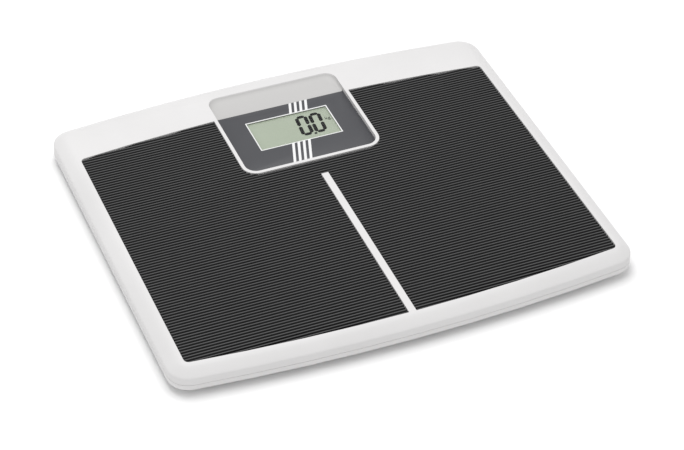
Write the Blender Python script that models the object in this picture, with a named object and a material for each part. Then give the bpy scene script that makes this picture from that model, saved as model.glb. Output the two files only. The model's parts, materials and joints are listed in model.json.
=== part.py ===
# Digital bathroom scale: a low plastic case with a standing mat, a sunken display panel and four weighing feet.
# Metres, +Z up. The origin is on the floor at the middle of the case, and +Y points to the display side.
import math

import bmesh
import bpy
from mathutils import Vector

for item in list(bpy.data.objects):
    bpy.data.objects.remove(item, do_unlink=True)

mm = 0.001

# Driving dimensions of the case
case_width = 400 * mm
case_depth = 346.3 * mm
total_height = 24 * mm
edge_bow_radius = 1735 * mm      # front and back edges bow outwards on this radius
corner_radius = 18.4 * mm
wall = 2 * mm                    # thickness of both shells
wall_draft = 0.3 * mm            # lean of the side wall over its height
border_width = 12.6 * mm         # sloping edge of the top cover
border_drop = 6.6 * mm           # from the flat top down to the top outer edge
edge_round = 0.8 * mm            # rounding of the top outer edge
mat_sink = 0.5 * mm              # the mat lies this far below the rim of the cover
ceiling_below_top = 3.7 * mm     # flat top of the cover down to its inner ceiling
base_clearance = 5 * mm          # underside of the case above the floor
seam_height = 11 * mm            # where the top cover ends and the base begins
tongue_rise = 2.7 * mm           # base tongue standing up inside the top cover
tongue_wall = 1.4 * mm

# Fits
gap = 0.3 * mm                   # between pieces that touch
slide_gap = 0.4 * mm             # around pieces that move or are laid in by hand

# Standing mat
mat_width = 371.4 * mm
mat_thickness = 2 * mm
mat_front_border = 13.05 * mm    # case edge to mat edge at the front
mat_back_border = 49.65 * mm     # case edge to mat edge at the back
mat_corner = 4 * mm
stripe_width = 7 * mm            # white rib of the cover that splits the mat
stripe_to_pocket = 22 * mm       # end of the rib to the front of the display pocket

# Display pocket
pocket_half_width = 59.7 * mm
pocket_back_border = 20.15 * mm  # case edge to pocket at the back
pocket_length = 107.3 * mm
pocket_corner = 10 * mm
pocket_rim = 3.4 * mm            # white rim between the pocket and the mat
fascia_length = 81.3 * mm        # pocket front to the back edge of the panel
scoop_depth = 4 * mm             # finger hollow behind the panel, below the flat top
scoop_back_run = 11.5 * mm         # how far its back wall leans
scoop_side_run = 2.2 * mm
fascia_thickness = 0.5 * mm
fascia_sink = 3.4 * mm           # below the flat top of the cover
window_width = 73.6 * mm
window_depth = 37.9 * mm
window_from_front = 47.95 * mm   # pocket front to the middle of the window
lcd_sink = 1.2 * mm              # top of the display glass below the fascia
lcd_margin = 4.3 * mm            # display glass beyond its window, each side
lcd_thickness = 2.8 * mm
tub_wall = 2.2 * mm

# Circuit board
board_width = 108 * mm
board_depth = 60 * mm
board_thickness = 1.6 * mm
board_top = 13.3 * mm
board_screw_inset = 4 * mm

# Feet and load cells
foot_side_inset = 45 * mm        # case side to the middle of a foot
foot_end_inset = 45.15 * mm      # case front or back to the middle of a foot
foot_radius = 17 * mm
foot_bottom = 1.4 * mm
foot_disc_top = 4.6 * mm
pad_radius = 15 * mm
pad_sink = 1.2 * mm
stem_radius = 6 * mm
cell_size = 34 * mm
cell_thickness = 1.6 * mm
cell_slot = 2 * mm
holder_wall = 6.5 * mm
holder_top = 14.2 * mm
foot_travel = 0.4 * mm

# Batteries
battery_radius = 5.15 * mm
battery_length = 44.5 * mm
battery_y = -40 * mm
battery_door_thickness = 1.6 * mm
door_travel = 6 * mm
bay_wall = 1.5 * mm
spring_length = 3 * mm
terminal_thickness = 0.4 * mm

# Screws and unit button
screw_head_radius = 2.8 * mm
screw_radius = 1.45 * mm
screw_boss_radius = 4 * mm
button_x = 36 * mm
button_from_window = 21.65 * mm  # in front of the middle of the window
button_radius = 4.5 * mm
button_travel = 0.5 * mm

# Levels worked out from the sizes above
case_back = case_depth / 2
case_front = -case_depth / 2
foot_x = case_width / 2 - foot_side_inset
foot_y = case_depth / 2 - foot_end_inset
pocket_back = case_back - pocket_back_border
pocket_front = pocket_back - pocket_length
fascia_back = pocket_front + fascia_length
window_centre_y = pocket_front + window_from_front
button_y = window_centre_y - button_from_window
stripe_end = pocket_front - stripe_to_pocket
flat_top = total_height
mat_top = flat_top - mat_sink
edge_height = flat_top - border_drop
ceiling = flat_top - ceiling_below_top
floor_top = base_clearance + wall
mat_seat = mat_top - mat_thickness - gap
fascia_top = flat_top - fascia_sink
fascia_seat = fascia_top - fascia_thickness - gap
lcd_top = fascia_top - lcd_sink
lcd_bottom = lcd_top - lcd_thickness
tub_bottom = fascia_seat - tub_wall
board_bottom = board_top - board_thickness

corner_steps = 7
bow_steps = 8
round_steps = 24


# Colours and finishes

def finish(name, colour, roughness, metallic=0.0, alpha=1.0):
    material = bpy.data.materials.new(name)
    material.use_nodes = True
    shader = material.node_tree.nodes["Principled BSDF"]
    shader.inputs["Base Color"].default_value = (*colour, 1.0)
    shader.inputs["Roughness"].default_value = roughness
    shader.inputs["Metallic"].default_value = metallic
    shader.inputs["Alpha"].default_value = alpha
    return material


white_plastic = finish("white_plastic", (0.82, 0.81, 0.82), 0.45)
grey_plastic = finish("grey_plastic", (0.55, 0.55, 0.55), 0.5)
black_plastic = finish("black_plastic", (0.03, 0.03, 0.03), 0.5)
black_rubber = finish("black_rubber", (0.05, 0.05, 0.05), 0.85)
fascia_film = finish("fascia_film", (0.11, 0.11, 0.12), 0.35)
clear_plastic = finish("clear_plastic", (0.9, 0.92, 0.9), 0.05, alpha=0.2)
lcd_green = finish("lcd_green", (0.46, 0.53, 0.42), 0.3)
board_green = finish("board_green", (0.03, 0.2, 0.07), 0.4)
chip_black = finish("chip_black", (0.02, 0.02, 0.02), 0.4)
steel = finish("steel", (0.6, 0.6, 0.6), 0.3, 1.0)
cell_steel = finish("cell_steel", (0.45, 0.46, 0.47), 0.4, 1.0)
battery_jacket = finish("battery_jacket", (0.05, 0.12, 0.3), 0.35)
wire_jacket = finish("wire_jacket", (0.6, 0.05, 0.04), 0.5)


# Outlines: lists of (x, y) points, anticlockwise seen from above

def arc(centre, radius, start, end, steps):
    points = []
    for i in range(steps + 1):
        angle = start + (end - start) * i / steps
        points.append((centre[0] + radius * math.cos(angle), centre[1] + radius * math.sin(angle)))
    return points


def bowed_outline(half_width, front, back, corner, bow_radius, inset=0.0):
    """Straight sides, bowed front and back, round corners. Every inset keeps the same arc centres."""
    back_centre = (0.0, back - bow_radius)
    front_centre = (0.0, front + bow_radius)
    reach = math.sqrt((bow_radius - corner) ** 2 - (half_width - corner) ** 2)
    tilt = math.atan2(half_width - corner, reach)
    corner_x = half_width - corner
    back_y = back_centre[1] + reach
    front_y = front_centre[1] - reach
    small = corner - inset
    large = bow_radius - inset
    quarter = math.pi / 2
    points = arc((corner_x, back_y), small, 0, quarter - tilt, corner_steps)
    points += arc(back_centre, large, quarter - tilt, quarter + tilt, bow_steps)[1:-1]
    points += arc((-corner_x, back_y), small, quarter + tilt, 2 * quarter, corner_steps)
    points += arc((-corner_x, front_y), small, 2 * quarter, 3 * quarter - tilt, corner_steps)
    points += arc(front_centre, large, 3 * quarter - tilt, 3 * quarter + tilt, bow_steps)[1:-1]
    points += arc((corner_x, front_y), small, 3 * quarter + tilt, 4 * quarter, corner_steps)
    return points


def case_outline(inset=0.0):
    return bowed_outline(case_width / 2, case_front, case_back, corner_radius, edge_bow_radius, inset)


def mat_outline(grow=0.0):
    """The mat with its notch around the display pocket and its slot for the white rib."""
    half = mat_width / 2
    front = case_front + mat_front_border
    back = case_back - mat_back_border
    whole = bowed_outline(half, front, back, mat_corner, edge_bow_radius, -grow)
    notch_half = pocket_half_width + pocket_rim - grow
    notch_front = pocket_front - pocket_rim + grow
    notch_corner = pocket_corner + pocket_rim - grow
    slot_half = stripe_width / 2 - grow
    slot_end = stripe_end - grow

    def back_edge(x):
        return back - edge_bow_radius + math.sqrt((edge_bow_radius + grow) ** 2 - x * x)

    def front_edge(x):
        return front + edge_bow_radius - math.sqrt((edge_bow_radius + grow) ** 2 - x * x)

    middle_y = (front + back) / 2
    right_back = [p for p in whole if p[0] > notch_half + mm and p[1] > middle_y]
    left_back = [p for p in whole if p[0] < -notch_half - mm and p[1] > middle_y]
    left_front = [p for p in whole if p[0] < -slot_half - mm and p[1] <= middle_y]
    right_front = [p for p in whole if p[0] > slot_half + mm and p[1] <= middle_y]
    quarter = math.pi / 2
    corner_x = notch_half - notch_corner
    corner_y = notch_front + notch_corner
    notch = [(notch_half, back_edge(notch_half))]
    notch += arc((corner_x, corner_y), notch_corner, 0, -quarter, corner_steps)
    notch += arc((-corner_x, corner_y), notch_corner, -quarter, -2 * quarter, corner_steps)
    notch += [(-notch_half, back_edge(notch_half))]
    slot = [(-slot_half, front_edge(slot_half)), (-slot_half, slot_end)]
    slot += [(slot_half, slot_end), (slot_half, front_edge(slot_half))]
    return right_back + notch + left_back + left_front + slot + right_front


def rounded_box(x0, x1, y0, y1, radius, back_radius=None):
    """A rectangle with round corners; back_radius rounds the two corners at y1 differently."""
    back_radius = radius if back_radius is None else back_radius
    quarter = math.pi / 2
    points = arc((x1 - back_radius, y1 - back_radius), back_radius, 0, quarter, corner_steps)
    points += arc((x0 + back_radius, y1 - back_radius), back_radius, quarter, 2 * quarter, corner_steps)
    points += arc((x0 + radius, y0 + radius), radius, 2 * quarter, 3 * quarter, corner_steps)
    points += arc((x1 - radius, y0 + radius), radius, 3 * quarter, 4 * quarter, corner_steps)
    return points


# Solids

def place(name, bm, material, location=(0, 0, 0)):
    bmesh.ops.recalc_face_normals(bm, faces=bm.faces)
    mesh = bpy.data.meshes.new(name)
    bm.to_mesh(mesh)
    bm.free()
    mesh.materials.append(material)
    thing = bpy.data.objects.new(name, mesh)
    thing.location = location
    bpy.context.scene.collection.objects.link(thing)
    return thing


def smooth(thing, degrees=35):
    thing.data.shade_smooth()
    thing.data.set_sharp_from_angle(angle=math.radians(degrees))
    return thing


def add_loft(bm, rings):
    """Joins rings of equal count into one closed skin, with a flat cap at each end."""
    loops = [[bm.verts.new(Vector((x, y, z))) for x, y in points] for points, z in rings]
    for lower, upper in zip(loops, loops[1:]):
        for i in range(len(lower)):
            j = (i + 1) % len(lower)
            bm.faces.new((lower[i], lower[j], upper[j], upper[i]))
    bm.faces.new(list(reversed(loops[0])))
    bm.faces.new(loops[-1])


def add_box(bm, x0, x1, y0, y1, z0, z1):
    corners = [(x0, y0), (x1, y0), (x1, y1), (x0, y1)]
    add_loft(bm, [(corners, z0), (corners, z1)])


def add_post(bm, x, y, radius, z0, z1, steps=16):
    ring = arc((x, y), radius, 0, 2 * math.pi, steps)[:-1]
    add_loft(bm, [(ring, z0), (ring, z1)])


def loft(name, rings, material, location=(0, 0, 0)):
    bm = bmesh.new()
    add_loft(bm, rings)
    return place(name, bm, material, location)


def turned(name, profile, material, location=(0, 0, 0), steps=round_steps):
    """Spins a profile of (radius, z) points about Z; a radius of 0 closes on the axis."""
    bm = bmesh.new()
    rings = []
    for radius, z in profile:
        if radius == 0:
            rings.append([bm.verts.new((0, 0, z))])
        else:
            circle = arc((0, 0), radius, 0, 2 * math.pi, steps)[:-1]
            rings.append([bm.verts.new((x, y, z)) for x, y in circle])
    for lower, upper in zip(rings, rings[1:]):
        for i in range(steps):
            j = (i + 1) % steps
            quad = [lower[i % len(lower)], lower[j % len(lower)]]
            quad += [upper[j % len(upper)], upper[i % len(upper)]]
            bm.faces.new(list(dict.fromkeys(quad)))
    return smooth(place(name, bm, material, location))


def boolean(target, name, bm, operation):
    tool = place(name, bm, white_plastic)
    tool.hide_render = True
    tool.display_type = "WIRE"
    modifier = target.modifiers.new(name, "BOOLEAN")
    modifier.operation = operation
    modifier.solver = "EXACT"
    modifier.object = tool


def tube(name, points, radius, material, resolution=2):
    """A wire: a poly spline along the points with a round bevel and filled ends."""
    curve = bpy.data.curves.new(name, "CURVE")
    curve.dimensions = "3D"
    curve.bevel_depth = radius
    curve.bevel_resolution = resolution
    curve.use_fill_caps = True
    spline = curve.splines.new("POLY")
    spline.points.add(len(points) - 1)
    for slot, point in zip(spline.points, points):
        slot.co = (*point, 1.0)
    curve.materials.append(material)
    thing = bpy.data.objects.new(name, curve)
    bpy.context.scene.collection.objects.link(thing)
    return thing


def smooth_route(knots, steps=5):
    """A Catmull-Rom curve through the knots."""
    padded = [knots[0] * 2 - knots[1]] + knots + [knots[-1] * 2 - knots[-2]]
    route = []
    for a, b, c, d in zip(padded, padded[1:], padded[2:], padded[3:]):
        for i in range(steps):
            t = i / steps
            route.append(0.5 * (2 * b + (c - a) * t + (2 * a - 5 * b + 4 * c - d) * t * t
                                + (3 * b - a - 3 * c + d) * t ** 3))
    route.append(knots[-1])
    return route


# Places shared by several pieces

corners = {"fl": (-1, -1), "fr": (1, -1), "bl": (-1, 1), "br": (1, 1)}
screw_places = []
for side in (-1, 1):
    side_x = side * (case_width / 2 - 13.5 * mm)
    screw_places += [(side_x, -60 * mm), (side_x, 60 * mm)]
    screw_places += [(side * 60 * mm, case_front + 13.15 * mm), (side * 85 * mm, case_back - 13.15 * mm)]
board_screw_places = []
for side_x in (-1, 1):
    for side_y in (-1, 1):
        board_screw_places.append((side_x * (board_width / 2 - board_screw_inset),
                                   window_centre_y + side_y * (board_depth / 2 - board_screw_inset)))


# Top cover

def bezier(points, t):
    a, b, c, d = (Vector(p) for p in points)
    return a * (1 - t) ** 3 + b * 3 * t * (1 - t) ** 2 + c * 3 * t * t * (1 - t) + d * t ** 3


def border_profile():
    """(inset, z) from the top outer edge up to the flat top: a convex roll with a small edge round."""
    edge = Vector((wall_draft, edge_height))
    run = border_width - wall_draft
    roll = [edge, edge + Vector((0.35 * run, 0.43 * border_drop)),
            Vector((wall_draft + 0.68 * run, flat_top - 0.05 * border_drop)), Vector((border_width, flat_top))]
    first = bezier(roll, 0.12)
    below = edge - Vector((0, edge_round))
    points = []
    for i in range(4):
        t = i / 3
        points.append(below * (1 - t) ** 2 + edge * 2 * t * (1 - t) + first * t * t)
    return points + [bezier(roll, t) for t in (0.28, 0.45, 0.62, 0.8, 1.0)]


def make_top_cover():
    inner = wall_draft / 2 + wall
    rings = [(border_width + 1.2 * mm, ceiling), (3.2 * mm, edge_height - wall), (inner, edge_height - 1.5 * wall),
             (inner, seam_height), (wall_draft / 2, seam_height)]
    rings += [(p.x, p.y) for p in border_profile()]
    cover = loft("top_cover", [(case_outline(inset), z) for inset, z in rings], white_plastic)

    tub = bmesh.new()
    add_loft(tub, [(rounded_box(-pocket_half_width - tub_wall, pocket_half_width + tub_wall,
                                pocket_front - tub_wall, pocket_back + tub_wall, pocket_corner + tub_wall), z)
                   for z in (tub_bottom, ceiling + 0.5 * mm)])
    boolean(cover, "tub_block", tub, "UNION")

    root = ceiling + 0.5 * mm
    bosses = bmesh.new()
    for x, y in screw_places:
        add_post(bosses, x, y, screw_boss_radius, seam_height - mm, root)
    for x, y in board_screw_places:
        add_post(bosses, x, y, 2.8 * mm, board_top + gap, tub_bottom + 0.5 * mm, 12)
    boolean(cover, "boss_posts", bosses, "UNION")

    posts = bmesh.new()
    half = cell_size / 2 + holder_wall - 2 * mm
    for x, y in corners.values():
        add_box(posts, x * foot_x - half, x * foot_x + half, y * foot_y - half, y * foot_y + half,
                holder_top + gap, root)
    boolean(cover, "holder_posts", posts, "UNION")
    hollows = bmesh.new()
    half -= 3 * mm
    for x, y in corners.values():
        add_box(hollows, x * foot_x - half, x * foot_x + half, y * foot_y - half, y * foot_y + half,
                holder_top - mm, ceiling)
    boolean(cover, "holder_post_hollows", hollows, "DIFFERENCE")

    rib_half = 0.8 * mm
    rib_bottom = ceiling - 4.7 * mm
    cross_ribs = bmesh.new()
    for y in (case_front + 73.15 * mm, battery_y + 30 * mm, pocket_front - 15.7 * mm):
        add_box(cross_ribs, -foot_x - 15 * mm, foot_x + 15 * mm, y - rib_half, y + rib_half, rib_bottom, root)
    boolean(cover, "cross_ribs", cross_ribs, "UNION")
    long_ribs = bmesh.new()
    for x in (-foot_x + 55 * mm, foot_x - 55 * mm):
        add_box(long_ribs, x - rib_half, x + rib_half, -foot_y - 22 * mm, foot_y + 22 * mm,
                rib_bottom + 0.5 * mm, root + 0.2 * mm)
    boolean(cover, "long_ribs", long_ribs, "UNION")

    holes = bmesh.new()
    for x, y in screw_places:
        add_post(holes, x, y, screw_radius + gap, seam_height - 2 * mm, ceiling - 3.1 * mm, 12)
    for x, y in board_screw_places:
        add_post(holes, x, y, 1.4 * mm, board_top - mm, tub_bottom - 0.7 * mm, 8)
    boolean(cover, "pilot_holes", holes, "DIFFERENCE")

    above = total_height + mm
    recess = bmesh.new()
    outline = mat_outline(slide_gap)
    add_loft(recess, [(outline, mat_seat), (outline, above)])
    boolean(cover, "mat_recess", recess, "DIFFERENCE")

    scoop = bmesh.new()
    dish = [(1, 1), (0.55, 0.88), (0.3, 0.66), (0.13, 0.4), (0.03, 0.16), (0, 0), (-0.03, -0.1)]
    rings = []
    for share, depth in dish:
        half = pocket_half_width - share * scoop_side_run
        back = pocket_back - share * scoop_back_run
        outline = rounded_box(-half, half, fascia_back - 27 * mm, back, 2 * mm, pocket_corner - share * mm)
        rings.append((outline, flat_top - depth * scoop_depth))
    rings.append((rings[-1][0], above))
    add_loft(scoop, rings)
    boolean(cover, "finger_scoop", scoop, "DIFFERENCE")

    seat = bmesh.new()
    outline = rounded_box(-pocket_half_width, pocket_half_width, pocket_front, fascia_back + gap, pocket_corner, mm)
    add_loft(seat, [(outline, fascia_seat), (outline, above)])
    boolean(cover, "fascia_seat", seat, "DIFFERENCE")

    opening = bmesh.new()
    half_x = window_width / 2 + lcd_margin + slide_gap
    half_y = window_depth / 2 + lcd_margin + slide_gap
    add_box(opening, -half_x, half_x, window_centre_y - half_y, window_centre_y + half_y, tub_bottom - mm, flat_top)
    boolean(cover, "lcd_opening", opening, "DIFFERENCE")
    return smooth(cover)


# Base

def make_base_cover():
    inner = wall_draft / 2 + wall + gap
    step = seam_height - gap
    tongue_top = seam_height + tongue_rise
    rings = [(inner + tongue_wall + 2 * mm, floor_top), (inner + tongue_wall, floor_top + 1.5 * mm),
             (inner + tongue_wall, tongue_top), (inner + 0.1 * mm, tongue_top), (inner, step),
             (wall_draft / 2, step), (0, floor_top + 0.2 * mm)]
    fillet = wall + 0.2 * mm
    for i in range(1, 5):
        angle = i / 4 * math.pi / 2
        rings.append((fillet * (1 - math.cos(angle)), base_clearance + fillet * (1 - math.sin(angle))))
    base = loft("base_cover", [(case_outline(inset), z) for inset, z in rings], white_plastic)

    pedestals = bmesh.new()
    for x, y in screw_places:
        add_post(pedestals, x, y, screw_boss_radius + 0.5 * mm, base_clearance + wall / 2, seam_height - mm - gap)
    bay_x, bay_y = battery_bay()
    add_box(pedestals, -bay_x - 5 * mm, bay_x + 5 * mm, battery_y - bay_y - 5 * mm,
            battery_y + bay_y + door_travel + 5 * mm, base_clearance + wall / 2, floor_top + bay_wall)
    boolean(base, "pedestals", pedestals, "UNION")
    bay = bmesh.new()
    roof = ceiling - 0.6 * mm
    add_box(bay, -bay_x - bay_wall, bay_x + bay_wall, battery_y - bay_y - bay_wall, battery_y + bay_y + bay_wall,
            floor_top, roof)
    boolean(base, "bay_block", bay, "UNION")

    cuts = bmesh.new()
    for x, y in screw_places:
        add_post(cuts, x, y, screw_head_radius + slide_gap, base_clearance - mm, base_clearance + 2.6 * mm)
    for x, y in corners.values():
        add_post(cuts, x * foot_x, y * foot_y, foot_radius + 1.5 * mm, base_clearance - mm, floor_top + mm, round_steps)
    add_post(cuts, button_x, button_y, button_radius + gap, base_clearance - mm, floor_top + mm)
    add_box(cuts, -bay_x, bay_x, battery_y - bay_y, battery_y + bay_y, base_clearance - mm, roof - bay_wall + 0.2 * mm)
    boolean(base, "base_openings", cuts, "DIFFERENCE")
    through = bmesh.new()
    for x, y in screw_places:
        add_post(through, x, y, screw_radius + gap, base_clearance, seam_height, 12)
    door_x, door_y = door_size()
    add_box(through, -door_x - slide_gap, door_x + slide_gap, battery_y - door_y - slide_gap,
            battery_y + door_y + door_travel + slide_gap, base_clearance - mm,
            base_clearance + battery_door_thickness + gap)
    boolean(base, "door_recess", through, "DIFFERENCE")
    return smooth(base)


def battery_bay():
    """Half length and half width of the space that holds the two cells and their contacts."""
    half_x = battery_length / 2 + spring_length / 2 + terminal_thickness + 3 * gap + 0.5 * mm
    half_y = 2 * battery_radius + 3 * gap
    return half_x, half_y


def door_size():
    half_x, half_y = battery_bay()
    return half_x + 3.6 * mm, half_y + 2.6 * mm


# Display

def make_display():
    outline = rounded_box(-pocket_half_width + gap, pocket_half_width - gap, pocket_front + gap, fascia_back,
                          pocket_corner - gap, 0.7 * mm)
    bottom = fascia_top - fascia_thickness
    fascia = loft("display_fascia", [(outline, bottom), (outline, fascia_top)], fascia_film)
    half_x = window_width / 2
    half_y = window_depth / 2
    opening = bmesh.new()
    add_box(opening, -half_x, half_x, window_centre_y - half_y, window_centre_y + half_y, bottom - mm, fascia_top + mm)
    boolean(fascia, "window_opening", opening, "DIFFERENCE")

    def plate(name, grow, z0, z1, material):
        bm = bmesh.new()
        add_box(bm, -half_x - grow, half_x + grow, window_centre_y - half_y - grow, window_centre_y + half_y + grow,
                z0, z1)
        return place(name, bm, material)

    plate("display_window", -gap, bottom, fascia_top - 0.1 * mm, clear_plastic)
    plate("lcd_glass", lcd_margin, lcd_bottom, lcd_top, lcd_green)
    frame = plate("lcd_frame", lcd_margin + 3 * mm, board_top + gap, tub_bottom - gap, grey_plastic)
    hollow = bmesh.new()
    rim = lcd_margin + gap
    ledge = lcd_margin - 3 * mm
    add_loft(hollow, [
        ([(-half_x - g, window_centre_y - half_y - g), (half_x + g, window_centre_y - half_y - g),
          (half_x + g, window_centre_y + half_y + g), (-half_x - g, window_centre_y + half_y + g)], z)
        for g, z in ((ledge, board_top), (ledge, lcd_bottom - gap), (rim, lcd_bottom - gap), (rim, tub_bottom + mm))])
    boolean(frame, "frame_hollow", hollow, "DIFFERENCE")

    strip = bmesh.new()
    strip_front = window_centre_y - half_y + mm
    add_box(strip, -half_x + mm, half_x - mm, strip_front, strip_front + 2.4 * mm, board_top + gap, lcd_bottom - gap)
    place("contact_strip", strip, black_rubber)


def make_board():
    board = bmesh.new()
    add_box(board, -board_width / 2, board_width / 2, window_centre_y - board_depth / 2,
            window_centre_y + board_depth / 2, board_bottom, board_top)
    board = place("circuit_board", board, board_green)
    holes = bmesh.new()
    for x, y in board_screw_places:
        add_post(holes, x, y, 1.4 * mm, board_bottom - mm, board_top + mm, 8)
    boolean(board, "board_holes", holes, "DIFFERENCE")
    under = board_bottom - gap
    size = 5 * mm
    chip = [(rounded_box(-size, size, window_centre_y - size, window_centre_y + size, mm), z)
            for z in (under - 1.4 * mm, under)]
    loft("controller_chip", chip, chip_black)
    size = 3 * mm
    body = [(button_x + x * size, button_y + y * size) for x, y in ((-1, -1), (1, -1), (1, 1), (-1, 1))]
    plunger = [(button_x + x * size / 2, button_y + y * size / 2) for x, y in ((-1, -1), (1, -1), (1, 1), (-1, 1))]
    top = under - 2.2 * mm
    loft("unit_switch", [(plunger, top - 0.4 * mm), (plunger, top), (body, top), (body, under)], black_plastic)
    for number, (x, y) in enumerate(board_screw_places, 1):
        profile = [(0, under - 1.5 * mm), (2.2 * mm, under - 1.2 * mm), (2.2 * mm, under), (1.1 * mm, under),
                   (1.1 * mm, tub_bottom - 1.4 * mm), (0, tub_bottom - 1.4 * mm)]
        turned(f"board_screw_{number}", profile, steel, (x, y, 0), 12)


def make_button():
    low = base_clearance + 0.1 * mm
    flange = floor_top + gap
    profile = [(0, low), (button_radius - 0.4 * mm, low), (button_radius, low + 0.4 * mm), (button_radius, flange),
               (button_radius + 1.3 * mm, flange), (button_radius + 1.3 * mm, flange + 0.8 * mm),
               (0, flange + 0.8 * mm)]
    turned("unit_button", profile, grey_plastic, (button_x, button_y, 0))


# Feet: rubber pad, cup with stem, load cell and its holder

def make_foot(tag, side_x, side_y):
    place_at = (side_x * foot_x, side_y * foot_y, 0)
    stem_top = floor_top + gap + 1.4 * mm
    cup_profile = [(0, foot_bottom + pad_sink), (pad_radius + gap, foot_bottom + pad_sink),
                   (pad_radius + gap, foot_bottom), (foot_radius - 0.5 * mm, foot_bottom),
                   (foot_radius, foot_bottom + 0.5 * mm), (foot_radius, foot_disc_top - 0.6 * mm),
                   (foot_radius - 0.6 * mm, foot_disc_top), (stem_radius, foot_disc_top),
                   (stem_radius, stem_top), (0, stem_top)]
    cup = turned(f"foot_cup_{tag}", cup_profile, white_plastic, place_at)
    pad_top = foot_bottom + pad_sink - gap
    pad_profile = [(0, 0), (pad_radius - 0.8 * mm, 0), (pad_radius, 0.6 * mm), (pad_radius, pad_top), (0, pad_top)]
    pad = turned(f"foot_pad_{tag}", pad_profile, black_rubber)
    pad.parent = cup

    ledge = floor_top + gap + 1.4 * mm
    half = cell_size / 2
    holder = bmesh.new()
    outer = half + holder_wall
    add_box(holder, -outer, outer, -outer, outer, floor_top + gap, holder_top)
    holder = place(f"cell_holder_{tag}", holder, black_plastic, place_at)
    hollow = bmesh.new()
    inner = half + 3 * mm
    px, py = place_at[0], place_at[1]
    add_box(hollow, px - inner, px + inner, py - inner, py + inner, ledge, holder_top + mm)
    boolean(holder, f"holder_hollow_{tag}", hollow, "DIFFERENCE")
    openings = bmesh.new()
    add_post(openings, px, py, stem_radius + 2 * mm, floor_top, ledge + mm, round_steps)
    notch_x = px - side_x * (inner + outer) / 2
    notch_half = (outer - inner) / 2 + mm
    add_box(openings, notch_x - notch_half, notch_x + notch_half, py - 2.5 * mm, py + 2.5 * mm,
            ledge + 2 * mm, holder_top + 2 * mm)
    boolean(holder, f"holder_openings_{tag}", openings, "DIFFERENCE")

    low = ledge + foot_travel + gap
    cell = bmesh.new()
    add_box(cell, -half, half, -half, half, low, low + cell_thickness)
    cell = place(f"load_cell_{tag}", cell, cell_steel, place_at)
    slots = bmesh.new()
    arm = half - 6 * mm
    for side in (-1, 1):
        slot_x = px + side * arm
        add_box(slots, slot_x - cell_slot / 2, slot_x + cell_slot / 2, py - arm, py + arm, low - mm,
                low + cell_thickness + mm)
        tongue_x = px + side * (arm - 5 * mm)
        add_box(slots, tongue_x - cell_slot / 2, tongue_x + cell_slot / 2, py - arm, py + arm - 6 * mm, low - mm,
                low + cell_thickness + mm)
    boolean(cell, f"cell_slots_{tag}", slots, "DIFFERENCE")
    joiner = bmesh.new()
    add_box(joiner, px - arm + 5 * mm, px + arm - 5 * mm, py - arm, py - arm + cell_slot, low - mm,
            low + cell_thickness + mm)
    boolean(cell, f"cell_tongue_{tag}", joiner, "DIFFERENCE")


def make_sensor_wires():
    level = floor_top + 1.6 * mm
    radius = 1.1 * mm
    over_cell = holder_top - 2 * mm
    plug_top = board_bottom - gap
    for tag, (side_x, side_y) in corners.items():
        inner_x = foot_x - cell_size / 2 - holder_wall
        cell_y = side_y * foot_y
        if side_y < 0:
            near = -foot_y
            legs = [(inner_x - 41.5 * mm, near + 16 * mm), (66 * mm, near + 58 * mm), (58 * mm, battery_y + 30 * mm),
                    (50 * mm, pocket_front + 4.3 * mm)]
            end = (side_x * 44 * mm, window_centre_y - 12 * mm)
        else:
            legs = [(inner_x - 31.5 * mm, foot_y - 2 * mm), (84 * mm, foot_y - 10 * mm)]
            end = (side_x * 40 * mm, window_centre_y + 12 * mm)
        knots = [Vector((side_x * (foot_x - cell_size / 2 + 5 * mm), cell_y, over_cell)),
                 Vector((side_x * (inner_x + 3 * mm), cell_y, over_cell)),
                 Vector((side_x * (inner_x - 8 * mm), cell_y, (over_cell + level) / 2))]
        knots += [Vector((side_x * x, y, level)) for x, y in legs]
        knots += [Vector((end[0] + side_x * 3 * mm, end[1], level)), Vector((end[0], end[1], plug_top - mm)),
                  Vector((end[0], end[1], plug_top))]
        tube(f"sensor_wire_{tag}", smooth_route(knots, 4), radius, wire_jacket, 1)


# Batteries

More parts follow.
